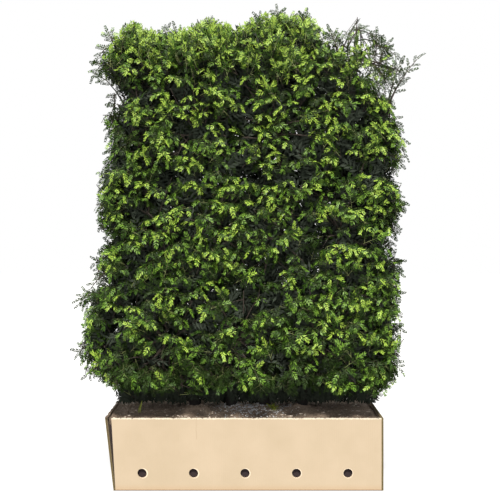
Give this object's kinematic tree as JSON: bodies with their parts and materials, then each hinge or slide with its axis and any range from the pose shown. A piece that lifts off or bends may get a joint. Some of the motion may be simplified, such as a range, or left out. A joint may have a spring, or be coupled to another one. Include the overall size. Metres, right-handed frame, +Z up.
{
  "type": "clipped yew hedge plant in a cardboard box",
  "caption": "English yew clipped into an upright block, growing in a long open cardboard box filled with compost.",
  "frame": {"origin": "centre of the flat underside of the cardboard box", "axes": "+Z up, +X along the box's length to the right as seen from its punched front, -Y out of the front"},
  "size_m": [1.373, 0.4416, 1.8155],
  "materials": {
    "cardboard": "matte",
    "compost": "matte",
    "bark": "matte",
    "foliage": "matte"
  },
  "bodies": {
    "root": {"box_folded_sheet": "cardboard", "box_end_left": "cardboard", "box_end_right": "cardboard", "compost": "compost", "stem_1": "bark", "stem_2": "bark", "stem_3": "bark", "stem_4": "bark", "bough_left_1": "bark", "bough_left_2": "bark", "bough_left_3": "bark", "bough_left_4": "bark", "bough_right_1": "bark", "bough_right_2": "bark", "bough_right_3": "bark", "bough_right_4": "bark", "foliage_front_1_1": "foliage", "foliage_front_1_2": "foliage", "foliage_front_1_3": "foliage", "foliage_front_2_1": "foliage", "foliage_front_2_2": "foliage", "foliage_front_2_3": "foliage", "foliage_front_2_4": "foliage", "foliage_front_3_1": "foliage", "foliage_front_3_2": "foliage", "foliage_front_3_3": "foliage", "foliage_front_3_4": "foliage", "foliage_back_1_1": "foliage", "foliage_back_1_2": "foliage", "foliage_back_1_3": "foliage", "foliage_back_2_1": "foliage", "foliage_back_2_2": "foliage", "foliage_back_2_3": "foliage", "foliage_back_2_4": "foliage", "foliage_back_3_1": "foliage", "foliage_back_3_2": "foliage", "foliage_back_3_3": "foliage", "foliage_back_3_4": "foliage", "foliage_left_1": "foliage", "foliage_left_2": "foliage", "foliage_left_3": "foliage", "foliage_left_4": "foliage", "foliage_right_1": "foliage", "foliage_right_2": "foliage", "foliage_right_3": "foliage", "foliage_right_4": "foliage", "foliage_top_left": "foliage", "foliage_top_left_middle": "foliage", "foliage_top_right_middle": "foliage", "foliage_top_right": "foliage"}
  },
  "joints": []
}
